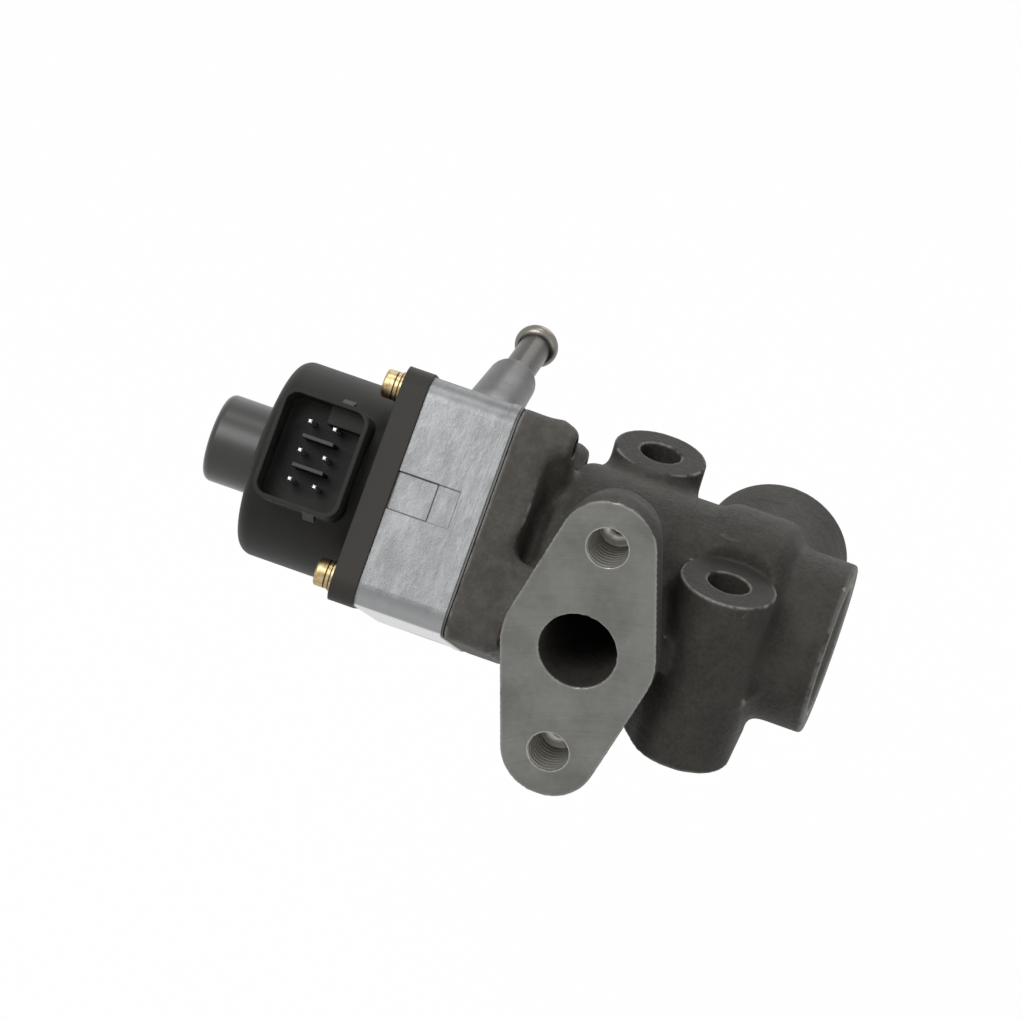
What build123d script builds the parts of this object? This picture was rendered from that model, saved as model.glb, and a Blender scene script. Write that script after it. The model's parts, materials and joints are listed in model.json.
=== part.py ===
from build123d import *
import os
from math import cos, radians, sin, sqrt

os.makedirs("parts", exist_ok=True)

# Water cooled exhaust gas recirculation valve, worked by a stepper motor.
# The origin is the centre of the gas outlet on the mounting face, and +Z is up.
# +X runs along the valve axis away from the motor, and the inlet flange looks to -Y.

# Mounting face and outlet
valve_axis_height = 23.1
outlet_port_radius = 8.25
outlet_land_radius = 14.0
mount_pattern_x = -9.5
mount_pitch_x = 25.6
mount_pitch_y = 40.0
mount_hole_radius = 4.5
mount_flange_thickness = 17.7
rear_boss_radius = 10.2
rear_boss_height = 44.4
column_radius = 10.9
column_draft = 0.8
column_height = 40.0
spot_face_radius = 10.4

# Inlet flange
inlet_x = -20.8
inlet_reach = 38.9
inlet_port_radius = 8.25
inlet_bolt_pitch = 49.0
inlet_tip_radius = 10.4
inlet_waist_radius = 16.6
inlet_flange_thickness = 10.0
inlet_front_thickness = 5.0
inlet_step = 0.7
inlet_hole_radius = 4.3
inlet_hole_depth = 11.0
inlet_neck_back = 14.0
inlet_neck_waist = 12.5
inlet_neck_tip = 6.0
inlet_neck_tip_reach = 11.0
inlet_neck_margin = 1.9

# Outer form of the casting, turned about the valve axis
joint_setback = 28.8
joint_plate_thickness = 8.8
neck_radius = 17.0
neck_length = 4.2
barrel_radius = 21.3
bulge_radius = 23.0
bulge_start = -5.0
bulge_rise = 3.0
bulge_end = 11.4
tube_radius = 18.75
tube_end = 26.2
tube_run_out = 2.4
shoulder_round = 3.0
root_round = 1.6
tube_edge_break = 0.5
side_boss_x = 6.1
side_boss_radius = 16.2
side_boss_reach = 37.5
side_boss_edge_break = 1.2
web_width = 13.0
web_offset = 12.0
web_length = 9.0

# Gas way and valve
chamber_radius = 11.5
chamber_start = -29.3
seat_start = -12.4
seat_length = 4.0
seat_ring_radius = 13.0
seat_throat_radius = 8.5
seat_chamfer = 1.2
end_bore_radius = 14.0
end_plug_recess = 2.8
side_bore_radius = 12.0
side_plug_recess = 3.0
plug_depth = 5.0
plug_wall = 1.5
valve_gap = 0.12
valve_head_thickness = 2.2
valve_head_lip = 0.5
valve_head_hub_radius = 5.0
valve_head_nose = 2.0
rivet_radius = 2.4
rivet_head_radius = 3.4
rivet_head_height = 1.2
stem_radius = 3.0
stem_clearance = 0.05
bush_radius = 7.0
bush_length = 17.3
bush_chamfer = 1.5
seal_length = 2.5
spring_pocket_radius = 10.6
spring_pocket_depth = 2.0
spring_seat_thickness = 0.8
spring_seat_play = 0.2

# Square block: joint plate, cooling spacer and gasket are turned by this angle about the axis
block_clock_angle = 30.0
block_corner_radius = 5.0
gasket_thickness = 0.5
spacer_length = 19.5
spring_chamber_radius = 12.0
jacket_inner_radius = 15.0
jacket_outer_radius = 20.5
jacket_depth = 14.0
pad_width = 8.2
pad_length = 8.9
pad_depth = 0.7
small_pad_length = 4.9
small_pad_depth = 0.35
spacer_band_width = 1.8
spacer_band_height = 0.25
screw_pitch = 42.0
screw_margin = 4.5
screw_radius = 2.0
screw_hole_radius = 2.2
screw_head_radius = 3.1
screw_head_height = 2.4
screw_head_round = 0.6
screw_drive_radius = 1.5
screw_drive_depth = 1.3
screw_tip_length = 1.8
washer_radius = 3.4
flat_washer_thickness = 0.8
spring_washer_thickness = 1.0
spring_washer_gap = 0.5
lug_root_radius = 8.0
front_lug_length = 4.5
back_lug_length = 2.6
back_lug_round = 1.5
front_lug_round = 3.6
lug_pocket_radius = 3.0
lug_pocket_depth = 3.4

# Coolant pipes
pipe_setback = 8.6
pipe_height = 24.0
pipe_radius = 3.5
pipe_wall = 0.9
pipe_socket_depth = 10.0
pipe_end = 48.0
bead_radius = 4.9
bead_half_width = 1.7
bead_setback = 2.6
pipe_boss_radius = 6.5
pipe_boss_end = 24.5
pipe_boss_taper = 2.0
pipe_boss_round = 1.4
pipe_boss_start = -8.0
lower_pipe_boss_start = 4.0

# Stepper motor
motor_flange_thickness = 5.6
motor_flange_radius = 24.5
motor_ear_radius = 5.0
motor_can_length = 25.6
motor_can_radius = 21.8
motor_can_round = 3.2
nose_length = 12.4
nose_radius = 9.7
nose_round = 1.8
nose_root_round = 0.8
can_bore_radius = 19.0
stator_stack = 24.0
rear_bush_length = 3.5
rear_bush_radius = 6.5
nose_bore_radius = 5.5
nose_end_wall = 2.0
front_plate_thickness = 2.5
bearing_width = 5.0
bearing_radius = 8.0
bearing_bore_radius = 4.0
bearing_ring_thickness = 1.2
ball_radius = 1.15
ball_count = 7
ball_play = 0.03
bearing_boss_wall = 2.0
yoke_sheet = 1.2
yoke_radius = 18.9
air_gap = 0.3
pole_count = 6
pole_width = 3.6
pole_clearance = 1.0
bobbin_wall = 0.8
bobbin_play = 0.2
winding_inset = 0.3
magnet_radius = 10.3
magnet_length = 17.0
hub_radius = 6.0
rotor_play = 0.2
thread_clearance = 0.05
screw_shaft_radius = 3.0
screw_flat = 2.2
screw_flat_length = 11.0
screw_nose = 2.0
screw_edge_break = 0.5
screw_shaft_length = 40.0
stem_lash = 0.3
o_ring_section = 0.95
o_ring_radius = 21.2
o_ring_groove_play = 0.3

# Spring retainer on the stem's end
retainer_radius = 9.6
retainer_thickness = 1.6
retainer_hub_length = 4.2
retainer_hub_radius = 5.6
collet_large_radius = 4.5
collet_small_radius = 3.8
collet_split = 0.4
stem_end_length = 1.6
stem_groove_depth = 0.5
stem_groove_width = 1.0
spring_coil_radius = 8.0
spring_wire_radius = 0.8
spring_turns = 5.0

# Connector moulded on the motor
connector_setback = 18.1
connector_offset = 1.3
connector_height = 30.0
connector_foot = 10.0
connector_width = 19.2
connector_depth = 24.2
connector_wall = 0.95
connector_corner = 3.4
connector_floor = 20.4
pin_width = 0.9
pin_pitch_x = 5.5
pin_pitch_y = 6.4
pin_recess = 2.2
pin_foot = 0.9
pin_edge_break = 0.22
rib_length = 6.9
rib_thickness = 0.8
rib_recess = 3.2
key_width = 8.4
key_depth = 3.9
key_recess = 4.8
latch_width = 2.6
latch_length = 5.0
latch_height = 1.3
latch_shift = 3.4
latch_recess = 1.2

# The square block is as wide as its screws need
block_side = screw_pitch + 2 * screw_margin

# Stations along the valve axis, each one found from the one before it
joint_face_x = inlet_x - joint_setback
joint_back_x = joint_face_x + joint_plate_thickness
barrel_start = joint_back_x + neck_length
spacer_front_x = joint_face_x - gasket_thickness
motor_face_x = spacer_front_x - spacer_length
can_front_x = motor_face_x - motor_flange_thickness
can_rear_x = can_front_x - motor_can_length
nose_end_x = can_rear_x - nose_length
stator_front_x = motor_face_x - front_plate_thickness
stator_rear_x = stator_front_x - stator_stack
rear_bush_end_x = stator_rear_x - rear_bush_length
spring_pocket_x = joint_face_x + spring_pocket_depth
spring_seat_x = spring_pocket_x - spring_seat_thickness
seal_end_x = spring_pocket_x + seal_length
seat_end_x = seat_start + seat_length
screw_nose_x = motor_face_x + screw_nose
stem_start_x = screw_nose_x + stem_lash
retainer_x = stem_start_x + stem_end_length
retainer_face_x = retainer_x + retainer_thickness
pipe_x = joint_face_x - pipe_setback
connector_x = motor_face_x - connector_setback

# Bolt places on the mounting face
rear_bolt = (mount_pattern_x - mount_pitch_x / 2, mount_pitch_y / 2)
front_bolt = (mount_pattern_x + mount_pitch_x / 2, -mount_pitch_y / 2)

# Corners of the square block that carry a screw: two at the front, one at the top back
front_corners = [(-screw_pitch / 2, screw_pitch / 2), (-screw_pitch / 2, -screw_pitch / 2)]
back_corner = (screw_pitch / 2, screw_pitch / 2)
screw_corners = [*front_corners, back_corner]

valve_axis = Axis((0, 0, valve_axis_height), (1, 0, 0))
lengthwise = Plane(origin=(0, 0, valve_axis_height), x_dir=(1, 0, 0), z_dir=(0, -1, 0))


def across(x, clocked=False):
    """Plane across the valve axis at x, local y up, or turned with the square block."""
    turn = radians(block_clock_angle) if clocked else 0
    return Plane(origin=(x, 0, valve_axis_height), x_dir=(0, cos(turn), -sin(turn)), z_dir=(1, 0, 0))


def block_front(height):
    """Plane along the block's front face, at a height over the valve axis."""
    turn = radians(block_clock_angle)
    look = (0, -cos(turn), sin(turn))
    return Plane(
        origin=(0, look[1] * height, valve_axis_height + look[2] * height),
        x_dir=(1, 0, 0),
        z_dir=look,
    )


def facing_back(x, y, z):
    """Plane that looks to +Y, its origin at height z over the valve axis."""
    return Plane(origin=(x, y, valve_axis_height + z), x_dir=(1, 0, 0), z_dir=(0, 1, 0))


def diamond(waist, tip, reach):
    """Two-bolt flange outline in the open sketch."""
    Circle(waist)
    with Locations((0, reach), (0, -reach)):
        Circle(tip)
    make_hull()


def screw_lug(corner, length, rounding):
    """Rounded lug behind the joint plate, from the axis out to a corner."""
    with BuildPart() as lug:
        with BuildSketch(across(joint_back_x, clocked=True)):
            Circle(lug_root_radius)
            with Locations(corner):
                Circle(screw_margin)
            make_hull()
        extrude(amount=length)
        fillet(lug.faces().sort_by(Axis.X)[-1].edges(), rounding)
    return lug.part


# Cast iron valve body
inlet_bolt_reach = inlet_bolt_pitch / 2
with BuildPart() as valve_body:
    # Joint plate for the cooling spacer
    with BuildSketch(across(joint_face_x, clocked=True)):
        RectangleRounded(block_side, block_side, block_corner_radius)
    extrude(amount=joint_plate_thickness)

    # Lugs round the ends of the screws, and a web between the two at the front
    add([screw_lug(corner, front_lug_length, front_lug_round) for corner in front_corners])
    add(screw_lug(back_corner, back_lug_length, back_lug_round))
    with BuildSketch(across(joint_back_x, clocked=True)):
        with Locations((-block_side / 4, -web_offset)):
            Rectangle(block_side / 2, web_width)
    extrude(amount=web_length)

    # Pockets round the screw tips, open to the outer corner
    for x, y in front_corners:
        with BuildSketch(across(joint_back_x, clocked=True)):
            with Locations((x, y)):
                Circle(lug_pocket_radius)
            with Locations((x - screw_margin, y)):
                Rectangle(2 * screw_margin, 2 * lug_pocket_radius)
        extrude(amount=lug_pocket_depth, mode=Mode.SUBTRACT)

    # Neck, barrel, bulge round the outlet chamber and end tube
    with BuildSketch(lengthwise):
        with BuildLine():
            outer = FilletPolyline(
                (joint_back_x - root_round, neck_radius),
                (barrel_start, neck_radius),
                (barrel_start, barrel_radius),
                (bulge_start, barrel_radius),
                (bulge_start + bulge_rise, bulge_radius),
                (bulge_end, bulge_radius),
                (bulge_end + tube_run_out, tube_radius),
                (tube_end, tube_radius),
                radius=[root_round, shoulder_round, shoulder_round, shoulder_round, shoulder_round, root_round],
            )
            Line(outer @ 1, (tube_end, 0))
            Line((tube_end, 0), (joint_back_x - root_round, 0))
            Line((joint_back_x - root_round, 0), outer @ 0)
        make_face()
    revolve(axis=valve_axis)
    chamfer(edges().filter_by(GeomType.CIRCLE).sort_by(Axis.X)[-1], tube_edge_break)

    # Mounting flange, bolt boss at the back and bolt column at the front
    with BuildSketch(Plane.XY):
        Circle(outlet_land_radius)
        with Locations(rear_bolt):
            Circle(rear_boss_radius)
        with Locations(front_bolt):
            Circle(column_radius)
        make_hull()
    extrude(amount=mount_flange_thickness)
    with BuildSketch(Plane.XY):
        with Locations(rear_bolt):
            Circle(rear_boss_radius)
    extrude(amount=rear_boss_height)
    with BuildSketch(Plane.XY):
        with Locations(front_bolt):
            Circle(column_radius)
    extrude(amount=column_height, taper=column_draft)

    # Round boss at the back, and the inlet flange with its neck
    with BuildSketch(facing_back(side_boss_x, 0, 0)):
        Circle(side_boss_radius)
    extrude(amount=side_boss_reach - side_boss_edge_break)
    with BuildSketch(facing_back(side_boss_x, side_boss_reach - side_boss_edge_break, 0)):
        Circle(side_boss_radius)
    extrude(amount=side_boss_edge_break, taper=45)
    with BuildSketch(facing_back(inlet_x, -inlet_reach, 0)):
        diamond(inlet_waist_radius, inlet_tip_radius, inlet_bolt_reach)
    extrude(amount=inlet_front_thickness)
    with BuildSketch(facing_back(inlet_x, inlet_front_thickness - inlet_reach, 0)):
        diamond(inlet_waist_radius - inlet_step, inlet_tip_radius - inlet_step, inlet_bolt_reach)
    extrude(amount=inlet_flange_thickness - inlet_front_thickness)
    with BuildSketch(facing_back(inlet_x, inlet_flange_thickness - inlet_reach, 0)):
        diamond(inlet_waist_radius - inlet_neck_margin, inlet_tip_radius - inlet_neck_margin, inlet_bolt_reach)
    with BuildSketch(facing_back(inlet_x, -inlet_neck_back, 0)):
        diamond(inlet_neck_waist, inlet_neck_tip, inlet_neck_tip_reach)
    loft(ruled=True)

    # Spot face on the column, cut into the bulge above it
    with BuildSketch(Plane.XY.offset(column_height)):
        with Locations(front_bolt):
            Circle(spot_face_radius)
    extrude(amount=valve_axis_height + bulge_radius - column_height, mode=Mode.SUBTRACT)

    # Gas way: inlet, inlet chamber, seat pocket, outlet chamber, outlet and side opening
    with BuildSketch(facing_back(inlet_x, -inlet_reach, 0)):
        Circle(inlet_port_radius)
    extrude(amount=inlet_reach, mode=Mode.SUBTRACT)
    with BuildSketch(across(chamber_start)):
        Circle(chamber_radius)
    extrude(amount=seat_start - chamber_start, mode=Mode.SUBTRACT)
    with BuildSketch(across(seat_start)):
        Circle(seat_ring_radius)
    extrude(amount=seat_length, mode=Mode.SUBTRACT)
    with BuildSketch(across(seat_end_x)):
        Circle(end_bore_radius)
    extrude(amount=tube_end - seat_end_x, mode=Mode.SUBTRACT)
    with BuildSketch(Plane.XY):
        Circle(outlet_port_radius)
    extrude(amount=valve_axis_height, mode=Mode.SUBTRACT)
    with BuildSketch(facing_back(side_boss_x, 0, 0)):
        Circle(side_bore_radius)
    extrude(amount=side_boss_reach, mode=Mode.SUBTRACT)

    # Spring pocket and bush bore behind the joint face
    with BuildSketch(across(joint_face_x)):
        Circle(spring_pocket_radius)
    extrude(amount=spring_pocket_depth, mode=Mode.SUBTRACT)
    with BuildSketch(across(spring_pocket_x)):
        Circle(bush_radius)
    extrude(amount=chamber_start - spring_pocket_x, mode=Mode.SUBTRACT)

    # Bolt holes, tapped holes of the inlet flange with their drill points, screw holes
    with Locations((*rear_bolt, 0), (*front_bolt, 0)):
        Cylinder(
            mount_hole_radius,
            rear_boss_height,
            align=(Align.CENTER, Align.CENTER, Align.MIN),
            mode=Mode.SUBTRACT,
        )
    for side in (-1, 1):
        hole_mouth = facing_back(inlet_x, -inlet_reach, side * inlet_bolt_reach)
        with BuildSketch(hole_mouth):
            Circle(inlet_hole_radius)
        extrude(amount=inlet_hole_depth, mode=Mode.SUBTRACT)
        with Locations(hole_mouth.offset(inlet_hole_depth)):
            Cone(
                inlet_hole_radius,
                0,
                inlet_hole_radius / sqrt(3),
                align=(Align.CENTER, Align.CENTER, Align.MIN),
                mode=Mode.SUBTRACT,
            )
    with BuildSketch(across(joint_face_x, clocked=True)):
        with Locations(*screw_corners):
            Circle(screw_radius)
    extrude(amount=joint_plate_thickness + front_lug_length, mode=Mode.SUBTRACT)
valve_body.part.label = "valve_body"
export_step(valve_body.part, "parts/valve_body.step")

# Seat ring, pressed in from the open end
with BuildPart() as seat_ring:
    with BuildSketch(across(seat_start)):
        Circle(seat_ring_radius)
        Circle(seat_throat_radius, mode=Mode.SUBTRACT)
    extrude(amount=seat_length)
    chamfer(
        edges().filter_by(GeomType.CIRCLE).group_by(Axis.X)[-1].sort_by(SortBy.RADIUS)[0],
        seat_chamfer,
    )
seat_ring.part.label = "seat_ring"
export_step(seat_ring.part, "parts/seat_ring.step")


def core_plug(plane, radius):
    """Cup shaped core plug with its rim on the plane and its floor beneath."""
    with BuildPart() as plug:
        with BuildSketch(plane.offset(-plug_depth)):
            Circle(radius)
        extrude(amount=plug_depth)
        fillet(plug.edges().sort_by(lambda edge: plane.to_local_coords(edge.center()).Z)[0], plug_wall)
        with BuildSketch(plane.offset(plug_wall - plug_depth)):
            Circle(radius - plug_wall)
        extrude(amount=plug_depth - plug_wall, mode=Mode.SUBTRACT)
    return plug.part


end_core_plug = core_plug(across(tube_end - end_plug_recess), end_bore_radius)
end_core_plug.label = "end_core_plug"
export_step(end_core_plug, "parts/end_core_plug.step")

side_core_plug = core_plug(facing_back(side_boss_x, side_boss_reach - side_plug_recess, 0), side_bore_radius)
side_core_plug.label = "side_core_plug"
export_step(side_core_plug, "parts/side_core_plug.step")

# Stem bush, stem seal and spring seat in the valve body
with BuildPart() as stem_bush:
    with BuildSketch(across(seal_end_x)):
        Circle(bush_radius)
        Circle(stem_radius + stem_clearance, mode=Mode.SUBTRACT)
    extrude(amount=bush_length)
    chamfer(edges().filter_by(GeomType.CIRCLE).group_by(Axis.X)[-1].sort_by(SortBy.RADIUS)[-1], bush_chamfer)
stem_bush.part.label = "stem_bush"
export_step(stem_bush.part, "parts/stem_bush.step")

with BuildPart() as stem_seal:
    with BuildSketch(across(spring_pocket_x)):
        Circle(bush_radius)
        Circle(stem_radius + stem_clearance, mode=Mode.SUBTRACT)
    extrude(amount=seal_length)
stem_seal.part.label = "stem_seal"
export_step(stem_seal.part, "parts/stem_seal.step")

with BuildPart() as spring_seat:
    with BuildSketch(across(spring_seat_x)):
        Circle(spring_pocket_radius - spring_seat_play)
        Circle(stem_radius + spring_seat_play, mode=Mode.SUBTRACT)
    extrude(amount=spring_seat_thickness)
spring_seat.part.label = "spring_seat"
export_step(spring_seat.part, "parts/spring_seat.step")

# Valve stem with a groove for the collets and a rivet end for the valve head
head_back_x = seat_end_x + valve_head_thickness
with BuildPart() as valve_stem:
    with BuildSketch(lengthwise):
        with BuildLine():
            groove_x = retainer_face_x
            groove_end_x = groove_x + stem_groove_width
            head_front_x = seat_start + valve_head_nose
            Polyline(
                (stem_start_x, 0),
                (stem_start_x, stem_radius),
                (groove_x, stem_radius),
                (groove_x, stem_radius - stem_groove_depth),
                (groove_end_x, stem_radius - stem_groove_depth),
                (groove_end_x, stem_radius),
                (head_front_x, stem_radius),
                (head_front_x, rivet_radius),
                (head_back_x, rivet_radius),
                (head_back_x, rivet_head_radius),
                (head_back_x + rivet_head_height, rivet_radius),
                (head_back_x + rivet_head_height, 0),
                close=True,
            )
        make_face()
    revolve(axis=valve_axis)
valve_stem.part.label = "valve_stem"
export_step(valve_stem.part, "parts/valve_stem.step")

# Valve head: a cone that closes on the seat's chamfer from the outlet side
with BuildPart() as valve_head:
    gap = valve_gap * sqrt(2)
    seat_edge_x = seat_end_x - seat_chamfer
    with BuildSketch(lengthwise):
        with BuildLine():
            Polyline(
                (head_front_x, rivet_radius),
                (head_front_x, valve_head_hub_radius),
                (seat_edge_x + gap, seat_throat_radius - valve_head_lip),
                (seat_edge_x + gap, seat_throat_radius),
                (seat_end_x + gap, seat_throat_radius + seat_chamfer),
                (head_back_x, seat_throat_radius + seat_chamfer),
                (head_back_x, rivet_radius),
                close=True,
            )
        make_face()
    revolve(axis=valve_axis)
valve_head.part.label = "valve_head"
export_step(valve_head.part, "parts/valve_head.step")

# Spring retainer, held on the stem by a split collet
with BuildPart() as spring_retainer:
    with BuildSketch(lengthwise):
        with BuildLine():
            Polyline(
                (retainer_x, collet_large_radius),
                (retainer_x, retainer_radius),
                (retainer_face_x, retainer_radius),
                (retainer_face_x, retainer_hub_radius),
                (retainer_x + retainer_hub_length, retainer_hub_radius),
                (retainer_x + retainer_hub_length, collet_small_radius),
                close=True,
            )
        make_face()
    revolve(axis=valve_axis)
spring_retainer.part.label = "spring_retainer"
export_step(spring_retainer.part, "parts/spring_retainer.step")

with BuildPart() as stem_collets:
    with BuildSketch(lengthwise):
        with BuildLine():
            Polyline(
                (retainer_x, stem_radius),
                (retainer_x, collet_large_radius),
                (retainer_x + retainer_hub_length, collet_small_radius),
                (retainer_x + retainer_hub_length, stem_radius),
                (groove_end_x, stem_radius),
                (groove_end_x, stem_radius - stem_groove_depth),
                (groove_x, stem_radius - stem_groove_depth),
                (groove_x, stem_radius),
                close=True,
            )
        make_face()
    revolve(axis=valve_axis)
    with BuildSketch(across(retainer_x)):
        Rectangle(2 * retainer_radius, collet_split)
    extrude(amount=retainer_hub_length, mode=Mode.SUBTRACT)
stem_collets.part.label = "stem_collets"
export_step(stem_collets.part, "parts/stem_collets.step")

# Return spring, shown at its fitted length between retainer and spring seat
spring_start_x = retainer_face_x + spring_wire_radius
spring_length = spring_seat_x - spring_wire_radius - spring_start_x
with BuildPart() as return_spring:
    with BuildLine():
        coil = Helix(
            pitch=spring_length / spring_turns,
            height=spring_length,
            radius=spring_coil_radius,
            center=(spring_start_x, 0, valve_axis_height),
            direction=(1, 0, 0),
        )
    with BuildSketch(Plane(origin=coil @ 0, z_dir=coil % 0)):
        Circle(spring_wire_radius)
    sweep(path=coil, is_frenet=True)
return_spring.part.label = "return_spring"
export_step(return_spring.part, "parts/return_spring.step")

# Gasket between the iron body and the cooling spacer
with BuildPart() as body_gasket:
    with BuildSketch(across(spacer_front_x, clocked=True)):
        RectangleRounded(block_side, block_side, block_corner_radius)
        Circle(spring_chamber_radius, mode=Mode.SUBTRACT)
        with Locations(*screw_corners):
            Circle(screw_hole_radius, mode=Mode.SUBTRACT)
    extrude(amount=gasket_thickness)
body_gasket.part.label = "body_gasket"
export_step(body_gasket.part, "parts/body_gasket.step")

def pipe_boss(side, start):
    """Tapered boss for a coolant pipe, over the axis or, with side -1, under it."""
    with BuildPart() as boss:
        with BuildSketch(facing_back(pipe_x, start, side * pipe_height)):
            Circle(pipe_boss_radius)
        extrude(amount=pipe_boss_end - start, taper=pipe_boss_taper)
        fillet(boss.faces().sort_by(Axis.Y)[-1].edges(), pipe_boss_round)
    return boss.part


# Aluminium cooling spacer with its water jacket and the two pipe bosses
o_ring_depth = 2 * o_ring_section
with BuildPart() as cooling_spacer:
    with BuildSketch(across(motor_face_x, clocked=True)):
        RectangleRounded(block_side, block_side, block_corner_radius)
    extrude(amount=spacer_length)
    with BuildSketch(across(spacer_front_x - spacer_band_width, clocked=True)):
        band_side = block_side + 2 * spacer_band_height
        RectangleRounded(band_side, band_side, block_corner_radius + spacer_band_height)
    extrude(amount=spacer_band_width)
    add([pipe_boss(1, pipe_boss_start), pipe_boss(-1, lower_pipe_boss_start)])

    # Spring chamber, water jacket open to the gasket, and the groove of the O-ring
    with BuildSketch(across(motor_face_x)):
        Circle(spring_chamber_radius)
    extrude(amount=spacer_length, mode=Mode.SUBTRACT)
    with BuildSketch(across(spacer_front_x - jacket_depth)):
        Circle(jacket_outer_radius)
        Circle(jacket_inner_radius, mode=Mode.SUBTRACT)
    extrude(amount=jacket_depth, mode=Mode.SUBTRACT)
    with BuildSketch(across(motor_face_x)):
        Circle(o_ring_radius + o_ring_section + o_ring_groove_play)
        Circle(o_ring_radius - o_ring_section - o_ring_groove_play, mode=Mode.SUBTRACT)
    extrude(amount=o_ring_depth, mode=Mode.SUBTRACT)

    # Water way from each pipe to the jacket, and the socket of each pipe
    water_radius = pipe_radius - pipe_wall
    for side in (1, -1):
        with BuildSketch(facing_back(pipe_x, 0, side * pipe_height)):
            Circle(water_radius)
        extrude(amount=pipe_boss_end, mode=Mode.SUBTRACT)
        with BuildSketch(Plane.XY.offset(valve_axis_height + side * pipe_height)):
            with Locations((pipe_x, 0)):
                Circle(water_radius)
        extrude(amount=-side * (pipe_height - jacket_inner_radius), mode=Mode.SUBTRACT)
        with BuildSketch(facing_back(pipe_x, pipe_boss_end, side * pipe_height)):
            Circle(pipe_radius)
        extrude(amount=-pipe_socket_depth, mode=Mode.SUBTRACT)

    # Screw holes and the two bare recessed pads of the front face
    with BuildSketch(across(motor_face_x, clocked=True)):
        with Locations(*screw_corners):
            Circle(screw_hole_radius)
    extrude(amount=spacer_length, mode=Mode.SUBTRACT)
    with BuildSketch(block_front(block_side / 2)):
        with Locations((motor_face_x + pad_length / 2, 0)):
            Rectangle(pad_length, pad_width)
    extrude(amount=-pad_depth, mode=Mode.SUBTRACT)
    with BuildSketch(block_front(block_side / 2)):
        with Locations((motor_face_x + pad_length + small_pad_length / 2, 0)):
            Rectangle(small_pad_length, pad_width)
    extrude(amount=-small_pad_depth, mode=Mode.SUBTRACT)
cooling_spacer.part.label = "cooling_spacer"
export_step(cooling_spacer.part, "parts/cooling_spacer.step")


def coolant_pipe(side):
    """Beaded hose pipe, pressed into the boss over the axis or, with side -1, under it."""
    start = pipe_boss_end - pipe_socket_depth
    bead = pipe_end - bead_setback
    middle = valve_axis_height + side * pipe_height
    with BuildPart() as pipe:
        with BuildSketch(Plane(origin=(pipe_x, 0, middle), x_dir=(0, 1, 0), z_dir=(1, 0, 0))):
            with BuildLine():
                Polyline(
                    (bead - bead_half_width, pipe_radius),
                    (start, pipe_radius),
                    (start, water_radius),
                    (pipe_end, water_radius),
                    (pipe_end, pipe_radius),
                    (bead + bead_half_width, pipe_radius),
                )
                ThreePointArc(
                    (bead + bead_half_width, pipe_radius),
                    (bead, bead_radius),
                    (bead - bead_half_width, pipe_radius),
                )
            make_face()
        revolve(axis=Axis((pipe_x, 0, middle), (0, 1, 0)))
    return pipe.part


coolant_inlet_pipe = coolant_pipe(1)
coolant_inlet_pipe.label = "coolant_inlet_pipe"
export_step(coolant_inlet_pipe, "parts/coolant_inlet_pipe.step")

coolant_outlet_pipe = coolant_pipe(-1)
coolant_outlet_pipe.label = "coolant_outlet_pipe"
export_step(coolant_outlet_pipe, "parts/coolant_outlet_pipe.step")

# Long screws with spring washers and flat washers
washer_stack = flat_washer_thickness + spring_washer_thickness
screw_head_x = can_front_x - washer_stack
with BuildPart() as motor_screws:
    with BuildSketch(across(screw_head_x, clocked=True)):
        with Locations(*screw_corners):
            Circle(screw_radius)
    extrude(amount=joint_back_x + screw_tip_length - screw_head_x)
    with BuildSketch(across(screw_head_x, clocked=True)):
        with Locations(*screw_corners):
            Circle(screw_head_radius)
    extrude(amount=-screw_head_height)
    fillet(faces().group_by(Axis.X)[0].edges(), screw_head_round)
    with BuildSketch(across(screw_head_x - screw_head_height, clocked=True)):
        with Locations(*screw_corners):
            RegularPolygon(screw_drive_radius, 6)
    extrude(amount=screw_drive_depth, mode=Mode.SUBTRACT)
motor_screws.part.label = "motor_screws"
export_step(motor_screws.part, "parts/motor_screws.step")

with BuildPart() as flat_washers:
    with BuildSketch(across(can_front_x - flat_washer_thickness, clocked=True)):
        with Locations(*screw_corners):
            Circle(washer_radius)
        with Locations(*screw_corners):
            Circle(screw_hole_radius, mode=Mode.SUBTRACT)
    extrude(amount=flat_washer_thickness)
flat_washers.part.label = "flat_washers"
export_step(flat_washers.part, "parts/flat_washers.step")

with BuildPart() as spring_washers:
    with BuildSketch(across(screw_head_x, clocked=True)):
        with Locations(*screw_corners):
            Circle(screw_head_radius)
        with Locations(*screw_corners):
            Circle(screw_hole_radius, mode=Mode.SUBTRACT)
        with Locations(*[(x, y + screw_head_radius) for x, y in screw_corners]):
            Rectangle(spring_washer_gap, 2 * screw_head_radius, mode=Mode.SUBTRACT)
    extrude(amount=spring_washer_thickness)
spring_washers.part.label = "spring_washers"
export_step(spring_washers.part, "parts/spring_washers.step")

# O-ring between motor and cooling spacer
with BuildPart() as motor_o_ring:
    with BuildSketch(lengthwise):
        with Locations((motor_face_x + o_ring_section, o_ring_radius)):
            Circle(o_ring_section)
    revolve(axis=valve_axis)
motor_o_ring.part.label = "motor_o_ring"
export_step(motor_o_ring.part, "parts/motor_o_ring.step")

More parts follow.
